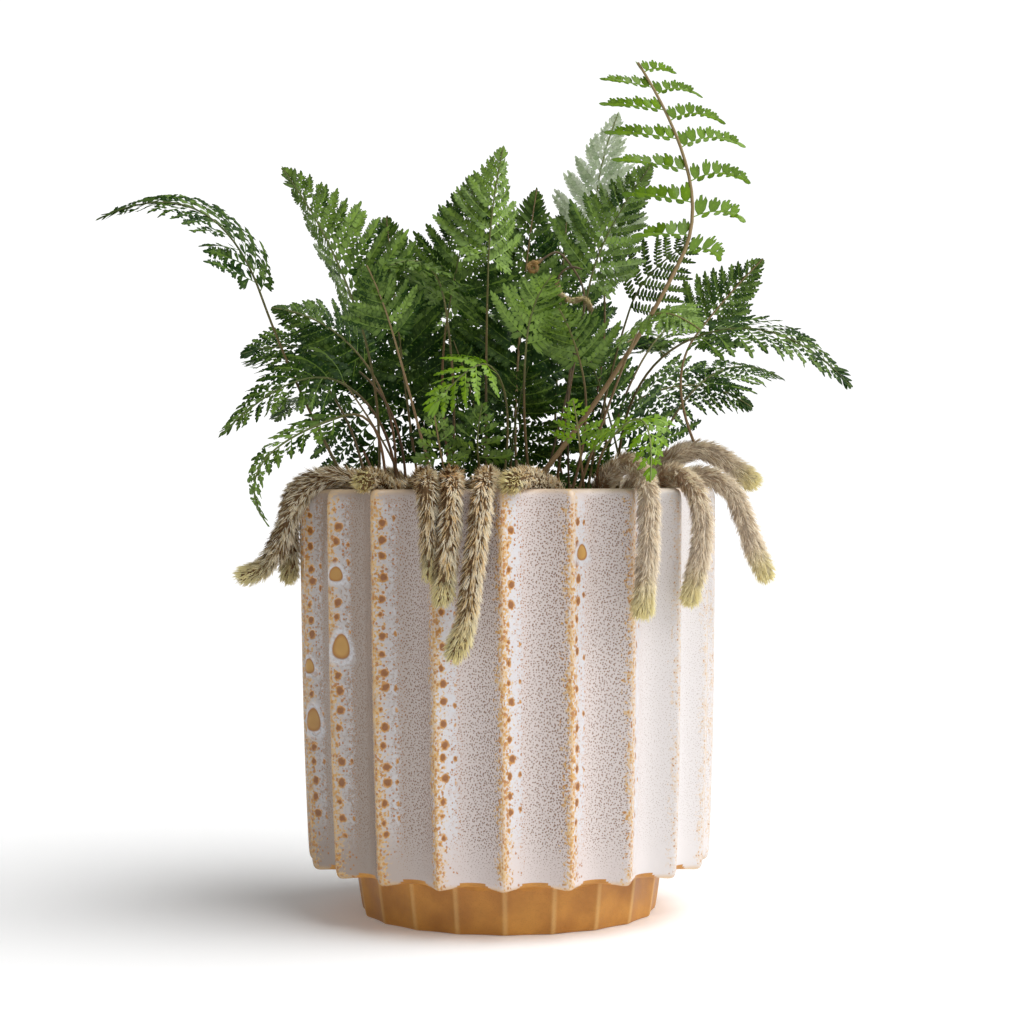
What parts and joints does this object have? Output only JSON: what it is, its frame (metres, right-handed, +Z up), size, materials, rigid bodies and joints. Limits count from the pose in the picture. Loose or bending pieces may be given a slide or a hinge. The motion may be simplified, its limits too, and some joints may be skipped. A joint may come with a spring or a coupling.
{
  "type": "potted white rabbit's foot fern",
  "caption": "Fern with furry creeping rhizomes and finely divided fronds, in a fluted glazed planter that stands on its own foot.",
  "frame": {"origin": "centre of the planter's flat base, on the surface that it stands on", "axes": "+Z up; -Y is the side that faces a viewer, with +X to that viewer's right"},
  "size_m": [0.3289, 0.2572, 0.379],
  "materials": {
    "glazed_stoneware": "gloss",
    "potting_mix": "matte",
    "rhizome_fur": "matte",
    "young_stalk": "satin",
    "young_leaf": "satin",
    "mature_leaf": "satin"
  },
  "bodies": {
    "root": {"planter": "glazed_stoneware", "potting_mix": "potting_mix", "rhizome_left": "rhizome_fur", "rhizome_left_short": "rhizome_fur", "rhizome_left_stub": "rhizome_fur", "rhizome_front_thin": "rhizome_fur", "rhizome_front_left": "rhizome_fur", "rhizome_front_long": "rhizome_fur", "rhizome_front_stub": "rhizome_fur", "rhizome_right_arched": "rhizome_fur", "rhizome_right_front": "rhizome_fur", "rhizome_right_outer": "rhizome_fur", "rhizome_right_upper": "rhizome_fur", "rhizome_back_left": "rhizome_fur", "rhizome_back": "rhizome_fur", "rhizome_back_right": "rhizome_fur", "rhizome_inner_left": "rhizome_fur", "rhizome_inner_right": "rhizome_fur", "crozier_left": "young_stalk", "crozier_right": "young_stalk", "frond_far_left": "mature_leaf", "frond_left_tall": "mature_leaf", "frond_centre_tall": "mature_leaf", "frond_centre_back": "mature_leaf", "frond_front_small": "mature_leaf", "frond_right_broad": "mature_leaf", "frond_tall_young": "young_leaf", "frond_right_upper": "mature_leaf", "frond_right_long": "mature_leaf", "frond_right_low": "mature_leaf", "frond_right_arching": "mature_leaf", "frond_pale_back": "mature_leaf", "frond_right_comb": "mature_leaf", "frond_left_streaked": "mature_leaf", "frond_left_leaning": "mature_leaf", "frond_left_upper": "mature_leaf", "frond_left_drooping": "mature_leaf", "frond_left_middle": "mature_leaf", "frond_left_curled": "mature_leaf", "frond_low_grey": "mature_leaf", "frond_low_left": "mature_leaf", "frond_bright_curl": "young_leaf", "frond_bright_right": "young_leaf", "frond_bright_small": "young_leaf", "frond_centre_behind": "mature_leaf", "frond_centre_rear": "mature_leaf", "frond_low_centre": "mature_leaf", "frond_low_right": "mature_leaf", "frond_low_inner": "mature_leaf", "frond_mid_right": "mature_leaf", "frond_left_rear": "mature_leaf", "frond_left_rear_low": "mature_leaf", "frond_rear_upright": "mature_leaf", "frond_rear_right": "mature_leaf", "frond_rear_arching_left": "mature_leaf", "frond_rear_arching": "mature_leaf", "frond_rear_arching_right": "mature_leaf", "frond_rear_low_left": "mature_leaf", "frond_side_right": "mature_leaf", "frond_side_left": "mature_leaf"}
  },
  "joints": []
}
